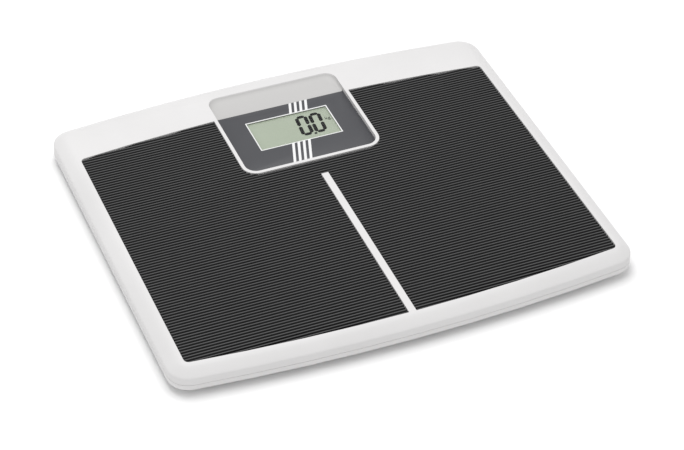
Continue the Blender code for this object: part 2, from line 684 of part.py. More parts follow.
def make_batteries():
    half_x, half_y = battery_bay()
    axis_z = base_clearance + battery_door_thickness + 2 * gap + battery_radius
    for number, side in ((1, 1), (2, -1)):
        y = battery_y + side * (battery_radius + gap / 2)
        shift = side * spring_length / 2
        half = battery_length / 2
        nub = 0.8 * mm
        profile = [(0, -half), (battery_radius - 0.5 * mm, -half), (battery_radius, -half + 0.5 * mm),
                   (battery_radius, half - nub - 0.5 * mm), (battery_radius - 0.5 * mm, half - nub),
                   (1.9 * mm, half - nub), (1.9 * mm, half), (0, half)]
        cell = turned(f"battery_{number}", profile, battery_jacket, (shift, y, axis_z), 20)
        cell.rotation_euler = (0, side * math.pi / 2, 0)
        spring_base = -side * (half_x - terminal_thickness - 2 * gap)
        coil = []
        turns = 3
        points_per_turn = 10
        count = turns * points_per_turn
        wire = 0.3 * mm
        for i in range(count + 1):
            t = i / count
            angle = 2 * math.pi * turns * t
            radius = (3.4 - 1.0 * t) * mm
            x = spring_base + side * (wire + t * (spring_length - 2 * wire - gap))
            coil.append((x, y + radius * math.cos(angle), axis_z + radius * math.sin(angle)))
        tube(f"battery_spring_{number}", coil, wire, steel, 1)
    for name, side in (("left_terminal", -1), ("right_terminal", 1)):
        outer = side * (half_x - gap)
        inner = side * (half_x - gap - terminal_thickness)
        plate = bmesh.new()
        add_box(plate, min(outer, inner), max(outer, inner), battery_y - half_y + mm, battery_y + half_y - mm,
                axis_z - 4 * mm, axis_z + 4 * mm)
        place(name, plate, steel)

    door_x, door_y = door_size()
    top = base_clearance + battery_door_thickness
    outline = rounded_box(-door_x, door_x, battery_y - door_y, battery_y + door_y, 0.8 * mm)
    door = loft("battery_door", [(outline, base_clearance), (outline, top)], white_plastic)
    grips = bmesh.new()
    for i in range(5):
        y = battery_y - 4 * mm + i * 2 * mm
        add_box(grips, -6 * mm, 6 * mm, y - 0.4 * mm, y + 0.4 * mm, base_clearance - mm, base_clearance + 0.5 * mm)
    boolean(door, "door_grip_lines", grips, "DIFFERENCE")
    level = floor_top + 1.8 * mm
    edge_y = battery_y + half_y + bay_wall
    lead = [Vector((-18 * mm, edge_y + 1.6 * mm, 14 * mm)), Vector((-18 * mm, edge_y + 2.2 * mm, 12 * mm)),
            Vector((-18 * mm, edge_y + 14 * mm, level + 0.6 * mm)), Vector((-22 * mm, pocket_front - 25.7 * mm, level)),
            Vector((-26 * mm, pocket_front + 9.3 * mm, level)), Vector((-27 * mm, window_centre_y - 18 * mm, level)),
            Vector((-27 * mm, window_centre_y - 14 * mm, board_bottom - 1.2 * mm)),
            Vector((-27 * mm, window_centre_y - 14 * mm, board_bottom - gap))]
    tube("battery_lead", smooth_route(lead, 4), 0.9 * mm, wire_jacket, 1)


def make_case_screws():
    low = base_clearance + 0.6 * mm
    seat = base_clearance + 2.6 * mm - gap
    tip = ceiling - 3.1 * mm - mm
    for number, (x, y) in enumerate(screw_places, 1):
        profile = [(0, low), (screw_head_radius - 0.5 * mm, low), (screw_head_radius, low + 0.5 * mm),
                   (screw_head_radius, seat), (screw_radius, seat), (screw_radius, tip - mm), (0.4 * mm, tip), (0, tip)]
        turned(f"case_screw_{number}", profile, steel, (x, y, 0), 12)


def make_mat():
    outline = mat_outline()
    return loft("standing_mat", [(outline, mat_top - mat_thickness), (outline, mat_top)], black_rubber)


make_top_cover()
make_base_cover()
make_mat()
make_display()
make_board()
make_button()
for corner, (side_x, side_y) in corners.items():
    make_foot(corner, side_x, side_y)
make_sensor_wires()
make_batteries()
make_case_screws()
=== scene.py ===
import json
import math
import bpy
from mathutils import Matrix, Vector


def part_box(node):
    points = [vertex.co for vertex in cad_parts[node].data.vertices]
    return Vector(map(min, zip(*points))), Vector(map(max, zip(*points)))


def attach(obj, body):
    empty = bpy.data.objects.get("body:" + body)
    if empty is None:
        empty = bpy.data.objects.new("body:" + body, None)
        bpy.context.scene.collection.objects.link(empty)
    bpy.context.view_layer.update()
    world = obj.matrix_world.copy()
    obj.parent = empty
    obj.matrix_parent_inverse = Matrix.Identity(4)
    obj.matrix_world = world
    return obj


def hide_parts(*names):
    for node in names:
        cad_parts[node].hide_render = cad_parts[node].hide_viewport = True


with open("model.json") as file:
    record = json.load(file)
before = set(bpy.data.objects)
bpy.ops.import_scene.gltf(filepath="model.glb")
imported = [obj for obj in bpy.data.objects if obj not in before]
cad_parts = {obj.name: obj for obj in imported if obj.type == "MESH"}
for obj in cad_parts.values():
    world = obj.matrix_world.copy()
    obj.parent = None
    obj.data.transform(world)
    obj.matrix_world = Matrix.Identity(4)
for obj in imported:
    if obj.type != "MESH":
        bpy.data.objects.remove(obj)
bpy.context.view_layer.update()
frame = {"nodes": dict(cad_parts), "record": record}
nodes = frame["nodes"]
mm = 0.001
corners = ("fl", "fr", "bl", "br")
print("frame loaded", len(nodes), "nodes")


# camera and light

cameraSet = {
    "turn": -23.456,       # degrees round the scale, from the front
    "rise": 40.661,
    "roll": 1.5,
    "distance": 1868 * mm,
    "lens": 119.9,
    "target": (-12.1 * mm, -43.9 * mm, 23.6 * mm),
}


def addCamera(s):
    turn, rise, roll = (math.radians(s[k]) for k in ("turn", "rise", "roll"))
    back = Vector((math.sin(turn) * math.cos(rise), -math.cos(turn) * math.cos(rise), math.sin(rise)))
    right = Vector((math.cos(turn), math.sin(turn), 0))
    up = back.cross(right)
    rolledRight = math.cos(roll) * right + math.sin(roll) * up
    rolledUp = math.cos(roll) * up - math.sin(roll) * right
    place = Vector(s["target"]) + back * s["distance"]
    data = bpy.data.cameras.new("scaleCamera")
    data.lens = s["lens"]
    data.sensor_width = 36
    data.clip_start = 0.01
    camera = bpy.data.objects.new("scaleCamera", data)
    camera.matrix_world = Matrix((rolledRight, rolledUp, back)).transposed().to_4x4()
    camera.matrix_world.translation = place
    bpy.context.scene.collection.objects.link(camera)
    bpy.context.scene.camera = camera


lightSet = {
    "sky": 0.73,                   # even light from all round
    "topPower": 13.2, "topSize": 1.0, "topPlace": (-0.05, 0.3, 1.5),
    "sidePower": 0.7, "sideSize": 0.8, "sidePlace": (-0.75, -1.1, 0.55),
    "floorSize": 6.0, "floorDrop": 0.05 * mm, "floorColour": (0.94, 0.94, 0.94), "floorRough": 0.9,
}


def addAreaLight(name, power, size, place):
    data = bpy.data.lights.new(name, "AREA")
    data.energy = power
    data.size = size
    lamp = bpy.data.objects.new(name, data)
    lamp.location = place
    lamp.rotation_euler = (-Vector(place)).to_track_quat("-Z", "Y").to_euler()
    bpy.context.scene.collection.objects.link(lamp)


def addStudio(s):
    world = bpy.data.worlds.new("paleRoom")
    world.use_nodes = True
    backdrop = world.node_tree.nodes["Background"]
    backdrop.inputs["Color"].default_value = (1, 1, 1, 1)
    backdrop.inputs["Strength"].default_value = s["sky"]
    bpy.context.scene.world = world
    bpy.context.scene.view_settings.view_transform = "Standard"
    addAreaLight("topSoftbox", s["topPower"], s["topSize"], s["topPlace"])
    addAreaLight("sideSoftbox", s["sidePower"], s["sideSize"], s["sidePlace"])
    bpy.ops.mesh.primitive_plane_add(size=s["floorSize"], location=(0, 0, -s["floorDrop"]))
    floor = bpy.context.object
    floor.name = "paleFloor"
    paint = bpy.data.materials.new("paleFloor")
    paint.use_nodes = True
    shader = paint.node_tree.nodes["Principled BSDF"]
    shader.inputs["Base Color"].default_value = (*s["floorColour"], 1)
    shader.inputs["Roughness"].default_value = s["floorRough"]
    shader.inputs["Specular IOR Level"].default_value = 0.0
    floor.data.materials.append(paint)


addCamera(cameraSet)
addStudio(lightSet)
print("camera and studio ready")


# shared effects, each a node group

def newGroup(name, inputs, outputs):
    group = bpy.data.node_groups.new(name, "ShaderNodeTree")
    for label, kind, value in inputs:
        socket = group.interface.new_socket(name=label, in_out="INPUT", socket_type=kind)
        if value is not None:
            socket.default_value = value
    for label, kind in outputs:
        group.interface.new_socket(name=label, in_out="OUTPUT", socket_type=kind)
    return group, group.nodes.new("NodeGroupInput"), group.nodes.new("NodeGroupOutput")


def mathNode(tree, operation, a, b=None, clamp=False):
    node = tree.nodes.new("ShaderNodeMath")
    node.operation = operation
    node.use_clamp = clamp
    for socket, value in zip(node.inputs, (a, b)):
        if value is None:
            continue
        if isinstance(value, (int, float)):
            socket.default_value = value
        else:
            tree.links.new(value, socket)
    return node.outputs[0]


def noiseNode(tree, vector, scale, detail=2.0, rough=0.5):
    node = tree.nodes.new("ShaderNodeTexNoise")
    node.inputs["Detail"].default_value = detail
    node.inputs["Roughness"].default_value = rough
    tree.links.new(vector, node.inputs["Vector"])
    if isinstance(scale, (int, float)):
        node.inputs["Scale"].default_value = scale
    else:
        tree.links.new(scale, node.inputs["Scale"])
    return node.outputs["Fac"]


grainSet = {"scale": 1800.0, "slowScale": 14.0, "fineShare": 0.7, "slowShare": 0.3}


def buildMouldGrain(s):
    # fine spark-eroded texture of a mould, with a slow unevenness under it
    group, source, sink = newGroup(
        "mouldGrain",
        [("Vector", "NodeSocketVector", None), ("Scale", "NodeSocketFloat", s["scale"])],
        [("Height", "NodeSocketFloat"), ("Mottle", "NodeSocketFloat")])
    fine = noiseNode(group, source.outputs["Vector"], source.outputs["Scale"], detail=3.0, rough=0.6)
    slow = noiseNode(group, source.outputs["Vector"], s["slowScale"], detail=3.0, rough=0.55)
    mixed = mathNode(group, "ADD", mathNode(group, "MULTIPLY", fine, s["fineShare"]),
                     mathNode(group, "MULTIPLY", slow, s["slowShare"]))
    group.links.new(mixed, sink.inputs["Height"])
    group.links.new(slow, sink.inputs["Mottle"])
    return group


dustSet = {"scale": 60.0, "bareBelow": 0.42, "contrast": 3.0}


def buildDust(s):
    # dust and rubbed spots that lie on faces turned up
    group, source, sink = newGroup(
        "settledDust",
        [("Vector", "NodeSocketVector", None), ("Scale", "NodeSocketFloat", s["scale"])],
        [("Mask", "NodeSocketFloat")])
    geometry = group.nodes.new("ShaderNodeNewGeometry")
    split = group.nodes.new("ShaderNodeSeparateXYZ")
    group.links.new(geometry.outputs["Normal"], split.inputs[0])
    facing = mathNode(group, "MAXIMUM", split.outputs["Z"], 0.0)
    spots = noiseNode(group, source.outputs["Vector"], source.outputs["Scale"], detail=6.0, rough=0.7)
    above = mathNode(group, "SUBTRACT", spots, s["bareBelow"])
    thin = mathNode(group, "MULTIPLY", above, s["contrast"], True)
    group.links.new(mathNode(group, "MULTIPLY", thin, facing, True), sink.inputs["Mask"])
    return group


brushSet = {"scale": 900.0, "stretch": 0.04, "shadeScale": 90.0}


def buildBrushed(s):
    # long fine scratches along X
    group, source, sink = newGroup(
        "brushedScratches",
        [("Vector", "NodeSocketVector", None), ("Scale", "NodeSocketFloat", s["scale"])],
        [("Height", "NodeSocketFloat"), ("Shade", "NodeSocketFloat")])
    stretch = group.nodes.new("ShaderNodeMapping")
    stretch.inputs["Scale"].default_value = (s["stretch"], 1.0, 1.0)
    group.links.new(source.outputs["Vector"], stretch.inputs["Vector"])
    lines = noiseNode(group, stretch.outputs["Vector"], source.outputs["Scale"], detail=4.0, rough=0.65)
    group.links.new(lines, sink.inputs["Height"])
    shade = noiseNode(group, source.outputs["Vector"], s["shadeScale"], detail=3.0)
    group.links.new(shade, sink.inputs["Shade"])
    return group


mouldGrain = buildMouldGrain(grainSet)
settledDust = buildDust(dustSet)
brushedScratches = buildBrushed(brushSet)


def startMaterial(name):
    material = bpy.data.materials.new(name)
    material.use_nodes = True
    tree = material.node_tree
    shader = tree.nodes["Principled BSDF"]
    coords = tree.nodes.new("ShaderNodeTexCoord").outputs["Object"]
    return material, tree, shader, coords


def placeGroup(tree, group, coords, scale=None):
    node = tree.nodes.new("ShaderNodeGroup")
    node.node_tree = group
    tree.links.new(coords, node.inputs["Vector"])
    if scale is not None:
        node.inputs["Scale"].default_value = scale
    return node


def splitCoords(tree, coords):
    node = tree.nodes.new("ShaderNodeSeparateXYZ")
    tree.links.new(coords, node.inputs[0])
    return node.outputs["X"], node.outputs["Y"], node.outputs["Z"]


def mixColour(tree, mask, low, high):
    node = tree.nodes.new("ShaderNodeMix")
    node.data_type = "RGBA"
    tree.links.new(mask, node.inputs["Factor"])
    for label, value in (("A", low), ("B", high)):
        socket = [s for s in node.inputs if s.name == label and s.type == "RGBA"][0]
        if isinstance(value, tuple):
            socket.default_value = (*value, 1)
        else:
            tree.links.new(value, socket)
    return [s for s in node.outputs if s.type == "RGBA"][0]


def spread(tree, mask, low=0.0, high=1.0):
    # the middle of a noise, stretched over a wanted range
    node = tree.nodes.new("ShaderNodeMapRange")
    node.inputs["From Min"].default_value = 0.3
    node.inputs["From Max"].default_value = 0.7
    node.inputs["To Min"].default_value = low
    node.inputs["To Max"].default_value = high
    tree.links.new(mask, node.inputs["Value"])
    return node.outputs["Result"]


def addBump(tree, shader, height, strength, distance):
    bump = tree.nodes.new("ShaderNodeBump")
    bump.inputs["Strength"].default_value = strength
    bump.inputs["Distance"].default_value = distance
    tree.links.new(height, bump.inputs["Height"])
    tree.links.new(bump.outputs["Normal"], shader.inputs["Normal"])


# finishes

def scoopMask(tree, coords, look):
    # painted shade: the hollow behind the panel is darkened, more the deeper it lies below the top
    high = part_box("display_fascia")[1]
    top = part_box("top_cover")[1].z
    x, y, z = splitCoords(tree, coords)
    inX = mathNode(tree, "LESS_THAN", mathNode(tree, "ABSOLUTE", x), high.x + look["scoopMargin"])
    behind = mathNode(tree, "GREATER_THAN", y, high.y - look["scoopMargin"] / 2)
    before = mathNode(tree, "LESS_THAN", y, high.y + look["scoopLength"])
    below = mathNode(tree, "SUBTRACT", top - look["scoopStart"], z)
    deep = mathNode(tree, "DIVIDE", below, look["scoopFade"], True)
    shallow = mathNode(tree, "GREATER_THAN", z, top - look["scoopEnd"])
    mask = mathNode(tree, "MULTIPLY", inX, behind)
    for part in (before, deep, shallow):
        mask = mathNode(tree, "MULTIPLY", mask, part)
    return mask


plainLook = {
    "grainScale": 1800.0, "bump": 0.25, "depth": 0.05 * mm, "specular": 0.5,
    "dust": 0.05, "dustColour": (0.6, 0.59, 0.57),
}


def plasticFinish(name, changes):
    look = {**plainLook, **changes}
    material, tree, shader, coords = startMaterial(name)
    grain = placeGroup(tree, mouldGrain, coords, look["grainScale"])
    dust = placeGroup(tree, settledDust, coords)
    body = mixColour(tree, spread(tree, grain.outputs["Mottle"]), look["dark"], look["light"])
    # painted shade darkens the hollow behind the panel
    if "scoop" in look:
        body = mixColour(tree, scoopMask(tree, coords, look), body, look["scoop"])
    if "crestWearAndHighlight" in look:       # rib tops painted pale, partly as rubbed wear and partly as painted highlight; the grooves keep the dark rubber
        height = splitCoords(tree, coords)[2]
        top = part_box("standing_mat")[1].z
        above = mathNode(tree, "SUBTRACT", height, top - look["crestReach"])
        wornAndLitCrest = mathNode(tree, "DIVIDE", above, look["crestReach"], True)
        body = mixColour(tree, mathNode(tree, "POWER", wornAndLitCrest, 2.0), body, look["crestWearAndHighlight"])
    dusty = mathNode(tree, "MULTIPLY", dust.outputs["Mask"], look["dust"])
    tree.links.new(mixColour(tree, dusty, body, look["dustColour"]), shader.inputs["Base Color"])
    tree.links.new(spread(tree, grain.outputs["Mottle"], *look["rough"]), shader.inputs["Roughness"])
    shader.inputs["Specular IOR Level"].default_value = look["specular"]
    addBump(tree, shader, grain.outputs["Height"], look["bump"], look["depth"])
    return material


plainSteel = {"bump": 0.3, "depth": 0.03 * mm}


def steelFinish(name, changes):
    look = {**plainSteel, **changes}
    material, tree, shader, coords = startMaterial(name)
    streaks = placeGroup(tree, brushedScratches, coords)
    tree.links.new(mixColour(tree, spread(tree, streaks.outputs["Shade"]), look["dark"], look["light"]),
                   shader.inputs["Base Color"])
    tree.links.new(spread(tree, streaks.outputs["Height"], *look["rough"]), shader.inputs["Roughness"])
    shader.inputs["Metallic"].default_value = 1.0
    addBump(tree, shader, streaks.outputs["Height"], look["bump"], look["depth"])
    return material


finishes = {
    "case_white": plasticFinish("caseWhite", {
        "dark": (0.672, 0.664, 0.664), "light": (0.699, 0.691, 0.691), "rough": (0.42, 0.52), "bump": 0.22,
        # scoop values: colour and extent of the painted shade in the hollow behind the panel
        "specular": 0.4, "scoop": (0.500, 0.494, 0.488), "scoopStart": 0.3 * mm, "scoopFade": 0.8 * mm,
        "scoopEnd": 6 * mm, "scoopLength": 26.5 * mm, "scoopMargin": 1.0 * mm}),
    "foot_white": plasticFinish("footWhite", {
        "dark": (0.70, 0.69, 0.69), "light": (0.75, 0.74, 0.74), "rough": (0.45, 0.55)}),
    "grey_plastic": plasticFinish("greyPlastic", {
        "dark": (0.45, 0.45, 0.46), "light": (0.5, 0.5, 0.51), "rough": (0.45, 0.55)}),
    "black_plastic": plasticFinish("blackPlastic", {
        "dark": (0.02, 0.02, 0.02), "light": (0.035, 0.035, 0.035), "rough": (0.45, 0.6), "bump": 0.4}),
    "mat_rubber": plasticFinish("ribbedRubber", {
        "dark": (0.003, 0.003, 0.0035), "light": (0.006, 0.006, 0.0065), "rough": (0.5, 0.62), "bump": 0.35,
        "grainScale": 2600.0, "dust": 0.03, "dustColour": (0.2, 0.2, 0.2), "specular": 0.25,
        # crest: rib tops painted pale, partly rubbed wear, partly painted highlight
        "crestWearAndHighlight": (0.088, 0.088, 0.089), "crestReach": 0.5 * mm}),
    "pad_rubber": plasticFinish("padRubber", {
        "dark": (0.025, 0.025, 0.025), "light": (0.045, 0.045, 0.045), "rough": (0.7, 0.85), "bump": 0.5}),
    "chip": plasticFinish("chipBlack", {
        "dark": (0.015, 0.015, 0.015), "light": (0.025, 0.025, 0.025), "rough": (0.5, 0.65), "bump": 0.5,
        "grainScale": 4000.0}),
    "wire_jacket": plasticFinish("wireJacket", {
        "dark": (0.5, 0.03, 0.03), "light": (0.6, 0.05, 0.04), "rough": (0.4, 0.5)}),
    "screw_steel": steelFinish("platedSteel", {
        "dark": (0.5, 0.5, 0.5), "light": (0.64, 0.64, 0.63), "rough": (0.25, 0.42)}),
    "contact_steel": steelFinish("nickelContact", {
        "dark": (0.6, 0.59, 0.56), "light": (0.74, 0.73, 0.7), "rough": (0.15, 0.3)}),
    "cell_steel": steelFinish("groundSteel", {
        "dark": (0.38, 0.39, 0.4), "light": (0.5, 0.51, 0.52), "rough": (0.3, 0.5)}),
}


fasciaSet = {
    "panel": (0.052, 0.053, 0.060), "panelLight": (0.059, 0.060, 0.067), "print": (0.78, 0.78, 0.78),
    "frameLine": 1.0 * mm, "windowGap": 0.3 * mm,          # printed line round the window and its gap
    "stripeCount": 4, "stripeWidth": 2.4 * mm, "stripePitch": 4.9 * mm,
    "stripeLean": 0.33, "stripeMiddle": 6.7 * mm,
    "grainScale": 3000.0, "rough": (0.32, 0.42), "specular": 0.45, "bump": 0.12, "depth": 0.02 * mm,
}


def fasciaFinish(s):
    material, tree, shader, coords = startMaterial("fasciaFilm")
    low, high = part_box("display_window")
    middle = (low + high) / 2
    halfX = (high.x - low.x) / 2 + s["windowGap"] + s["frameLine"]
    halfY = (high.y - low.y) / 2 + s["windowGap"] + s["frameLine"]
    x, y = splitCoords(tree, coords)[:2]
    y = mathNode(tree, "SUBTRACT", y, middle.y)
    inX = mathNode(tree, "LESS_THAN", mathNode(tree, "ABSOLUTE", x), halfX)
    inY = mathNode(tree, "LESS_THAN", mathNode(tree, "ABSOLUTE", y), halfY)
    line = mathNode(tree, "MULTIPLY", inX, inY)
    across = mathNode(tree, "SUBTRACT", mathNode(tree, "SUBTRACT", x, s["stripeMiddle"]),
                      mathNode(tree, "MULTIPLY", y, s["stripeLean"]))
    span = s["stripePitch"] * s["stripeCount"]
    shifted = mathNode(tree, "ADD", across, span / 2)
    inside = mathNode(tree, "LESS_THAN", mathNode(tree, "ABSOLUTE", across), span / 2)
    phase = mathNode(tree, "FRACT", mathNode(tree, "DIVIDE", shifted, s["stripePitch"]))
    onStripe = mathNode(tree, "LESS_THAN", phase, s["stripeWidth"] / s["stripePitch"])
    stripes = mathNode(tree, "MULTIPLY", inside, onStripe)
    printed = mathNode(tree, "MAXIMUM", line, stripes)
    grain = placeGroup(tree, mouldGrain, coords, s["grainScale"])
    base = mixColour(tree, spread(tree, grain.outputs["Mottle"]), s["panel"], s["panelLight"])
    tree.links.new(mixColour(tree, printed, base, s["print"]), shader.inputs["Base Color"])
    tree.links.new(spread(tree, grain.outputs["Mottle"], *s["rough"]), shader.inputs["Roughness"])
    shader.inputs["Specular IOR Level"].default_value = s["specular"]
    addBump(tree, shader, grain.outputs["Height"], s["bump"], s["depth"])
    return material


lcdSet = {
    "glass": (0.350, 0.400, 0.310), "glassLight": (0.385, 0.435, 0.345), "rough": (0.12, 0.2),
    "grainScale": 5000.0, "bump": 0.05, "depth": 0.01 * mm,
}


def lcdFinish(s):
    material, tree, shader, coords = startMaterial("displayGlass")
    grain = placeGroup(tree, mouldGrain, coords, s["grainScale"])
    tree.links.new(mixColour(tree, spread(tree, grain.outputs["Mottle"]), s["glass"], s["glassLight"]),
                   shader.inputs["Base Color"])
    tree.links.new(spread(tree, grain.outputs["Height"], *s["rough"]), shader.inputs["Roughness"])
    addBump(tree, shader, grain.outputs["Height"], s["bump"], s["depth"])
    return material


windowSet = {
    "tint": (0.30, 0.31, 0.30), "dustTint": (0.4, 0.4, 0.39), "dustScale": 240.0,
    "alpha": (0.02, 0.04), "rough": (0.03, 0.08),
}


def windowFinish(s):
    material, tree, shader, coords = startMaterial("clearWindow")
    dust = placeGroup(tree, settledDust, coords, s["dustScale"])
    mask = dust.outputs["Mask"]
    tree.links.new(mixColour(tree, mask, s["tint"], s["dustTint"]), shader.inputs["Base Color"])
    tree.links.new(spread(tree, mask, *s["rough"]), shader.inputs["Roughness"])
    tree.links.new(spread(tree, mask, *s["alpha"]), shader.inputs["Alpha"])
    return material


boardSet = {
    "mask": (0.012, 0.11, 0.035), "trace": (0.03, 0.19, 0.065), "pitch": 2.54 * mm, "traceWidth": 0.035,
    "grainScale": 2400.0, "rough": (0.25, 0.4), "bump": 0.4, "depth": 0.03 * mm,
}


def boardFinish(s):
    material, tree, shader, coords = startMaterial("solderMask")
    brick = tree.nodes.new("ShaderNodeTexBrick")
    brick.inputs["Scale"].default_value = 1 / s["pitch"] / 4
    brick.inputs["Mortar Size"].default_value = s["traceWidth"]
    tree.links.new(coords, brick.inputs["Vector"])
    grain = placeGroup(tree, mouldGrain, coords, s["grainScale"])
    tree.links.new(mixColour(tree, brick.outputs["Fac"], s["mask"], s["trace"]), shader.inputs["Base Color"])
    tree.links.new(spread(tree, grain.outputs["Mottle"], *s["rough"]), shader.inputs["Roughness"])
    addBump(tree, shader, brick.outputs["Fac"], s["bump"], s["depth"])
    return material


batterySet = {
    "sleeve": (0.02, 0.05, 0.16), "band": (0.55, 0.42, 0.12), "bandShare": 0.3, "bandsPerMetre": 22.0,
    "grainScale": 2600.0, "rough": (0.2, 0.34), "metallic": 0.3, "bump": 0.15, "depth": 0.02 * mm,
}


def batteryFinish(s):
    material, tree, shader, coords = startMaterial("batterySleeve")
    along = mathNode(tree, "MULTIPLY", splitCoords(tree, coords)[0], s["bandsPerMetre"])
    band = mathNode(tree, "GREATER_THAN", mathNode(tree, "FRACT", along), 1 - s["bandShare"])
    grain = placeGroup(tree, mouldGrain, coords, s["grainScale"])
    tree.links.new(mixColour(tree, band, s["sleeve"], s["band"]), shader.inputs["Base Color"])
    tree.links.new(spread(tree, grain.outputs["Mottle"], *s["rough"]), shader.inputs["Roughness"])
    shader.inputs["Metallic"].default_value = s["metallic"]
    addBump(tree, shader, grain.outputs["Height"], s["bump"], s["depth"])
    return material


segmentSet = {
    "dark": (0.004, 0.004, 0.004), "light": (0.007, 0.007, 0.007), "rough": (0.4, 0.5), "bump": 0.1,
    "dust": 0.0, "specular": 0.1,
}

finishes["fascia"] = fasciaFinish(fasciaSet)
finishes["lcd"] = lcdFinish(lcdSet)
finishes["window"] = windowFinish(windowSet)
finishes["board"] = boardFinish(boardSet)
finishes["battery_jacket"] = batteryFinish(batterySet)
segmentInk = plasticFinish("segmentInk", segmentSet)

slotOf = {entry["node"]: entry["material_slot"] for entry in frame["record"]["subparts"]}
bodyOf = {node: body for body, members in frame["record"]["behaviour"]["bodies"].items() for node in members}
for name, node in nodes.items():
    node.data.materials.clear()
    node.data.materials.append(finishes[slotOf[name]])
print("finishes ready", len(finishes))


# modelling helpers

def deselectAll():
    if bpy.context.object and bpy.context.object.mode != "OBJECT":
        bpy.ops.object.mode_set(mode="OBJECT")
    bpy.ops.object.select_all(action="DESELECT")


def takeUp(piece):
    deselectAll()
    piece.select_set(True)
    bpy.context.view_layer.objects.active = piece


def selectParts(piece, kind, test):
    # leaves the piece in edit mode
    takeUp(piece)
    bpy.ops.object.mode_set(mode="EDIT")
    bpy.ops.mesh.select_mode(type=kind)
    bpy.ops.mesh.select_all(action="DESELECT")
    bpy.ops.object.mode_set(mode="OBJECT")
    for part in piece.data.polygons if kind == "FACE" else piece.data.vertices:
        part.select = test(part)
    bpy.ops.object.mode_set(mode="EDIT")


def selectFaces(piece, test):
    selectParts(piece, "FACE", test)


def selectPoints(piece, test):
    selectParts(piece, "VERT", test)


def openAll(piece):
    # edit mode with everything selected
    takeUp(piece)
    bpy.ops.object.mode_set(mode="EDIT")
    bpy.ops.mesh.select_all(action="SELECT")


def turnOutward(piece):
    openAll(piece)
    bpy.ops.mesh.normals_make_consistent(inside=False)
    bpy.ops.object.mode_set(mode="OBJECT")


def settlePlace(piece):
    takeUp(piece)
    bpy.ops.object.transform_apply(location=True, rotation=True, scale=True)


def applyModifier(piece, kind, **values):
    takeUp(piece)
    modifier = piece.modifiers.new(kind.lower(), kind)
    for key, value in values.items():
        setattr(modifier, key, value)
    bpy.ops.object.modifier_apply(modifier=modifier.name)


def roundEdges(piece, width, segments, angle):
    applyModifier(piece, "BEVEL", width=width, segments=segments, limit_method="ANGLE",
                  angle_limit=math.radians(angle))


def finishPiece(piece, node, angle=35):
    takeUp(piece)
    bpy.ops.object.shade_smooth_by_angle(angle=math.radians(angle))
    piece.data.materials.clear()
    piece.data.materials.append(finishes[slotOf[node]])
    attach(piece, bodyOf[node])
    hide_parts(node)
    return piece


copySet = {"merge": 0.005 * mm, "flat": math.radians(0.4)}


def copyNode(node, name):
    # a merged copy of a CAD node, with its flat areas made whole again
    copy = nodes[node].copy()
    copy.data = nodes[node].data.copy()
    copy.name = name
    copy.parent = None
    for key in list(copy.keys()):
        del copy[key]
    bpy.context.scene.collection.objects.link(copy)
    openAll(copy)
    bpy.ops.mesh.remove_doubles(threshold=copySet["merge"])
    bpy.ops.mesh.dissolve_limited(angle_limit=copySet["flat"])
    bpy.ops.object.mode_set(mode="OBJECT")
    if copy.data.has_custom_normals:
        bpy.ops.mesh.customdata_custom_splitnormals_clear()
    return copy


# shells, door and cups: the CAD shape, smoothed, with its edges rounded where a width is given

shellSet = {       # node: name of the piece, width of the rounding
    "top_cover": ("topShell", 0), "base_cover": ("bottomShell", 0),
    "display_fascia": ("displayPanel", 0.12 * mm), "battery_door": ("batteryHatch", 0),
    "unit_button": ("unitKey", 0.2 * mm), "display_window": ("windowPane", 0.05 * mm),
    "lcd_glass": ("displayCell", 0.2 * mm),
}
for corner in corners:
    shellSet["foot_cup_" + corner] = ("footCup_" + corner, 0.15 * mm)
for node, (name, width) in shellSet.items():
    shell = copyNode(node, name)
    if width:
        roundEdges(shell, width, 2, 50)
    finishPiece(shell, node)
print("shells ready")


# ribbed mat

matSet = {
    "ribPitch": 3.12 * mm, "grooveDepth": 1.25 * mm,
    "profile": (0.0, 0.08, 0.6, 1.0, 1.0, 0.55, 0.08),        # depth at each step of one rib, 1 is the groove
    "spareRibs": 4, "overhang": 8 * mm, "drop": 6 * mm, "underside": 1 * mm, "cutAbove": 0.6 * mm,
}


def makeRibbedMat(s):
    low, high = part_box("standing_mat")
    steps = len(s["profile"])
    ribs = int((high.y - low.y) / s["ribPitch"]) + s["spareRibs"]
    middle = (low + high) / 2
    depth = ribs * s["ribPitch"]
    deselectAll()
    bpy.ops.mesh.primitive_grid_add(x_subdivisions=1, y_subdivisions=ribs * steps, size=1,
                                    location=(middle.x, middle.y, high.z))
    sheet = bpy.context.object
    sheet.name = "ribbedMat"
    sheet.scale = (high.x - low.x + s["overhang"], depth, 1)
    settlePlace(sheet)
    start = middle.y - depth / 2

    def levelOf(point):
        return s["profile"][int((point.co.y - start) / s["ribPitch"] * steps + 0.5) % steps]

    for level in sorted(set(s["profile"])):
        if level:
            selectPoints(sheet, lambda point: levelOf(point) == level)
            bpy.ops.transform.translate(value=(0, 0, -level * s["grooveDepth"]))
    openAll(sheet)
    bpy.ops.mesh.extrude_region_move(TRANSFORM_OT_translate={"value": (0, 0, -s["drop"])})
    bpy.ops.transform.resize(value=(1, 1, 0), center_override=(middle.x, middle.y, low.z - s["underside"]))
    turnOutward(sheet)
    outline = copyNode("standing_mat", "matOutline")
    selectPoints(outline, lambda p: p.co.z > middle.z)
    bpy.ops.transform.translate(value=(0, 0, s["cutAbove"]))
    applyModifier(sheet, "BOOLEAN", operation="INTERSECT", solver="EXACT", object=outline)
    deselectAll()
    bpy.data.objects.remove(outline, do_unlink=True)
    return finishPiece(sheet, "standing_mat", 40)


makeRibbedMat(matSet)
print("mat ready")


# digits on the display

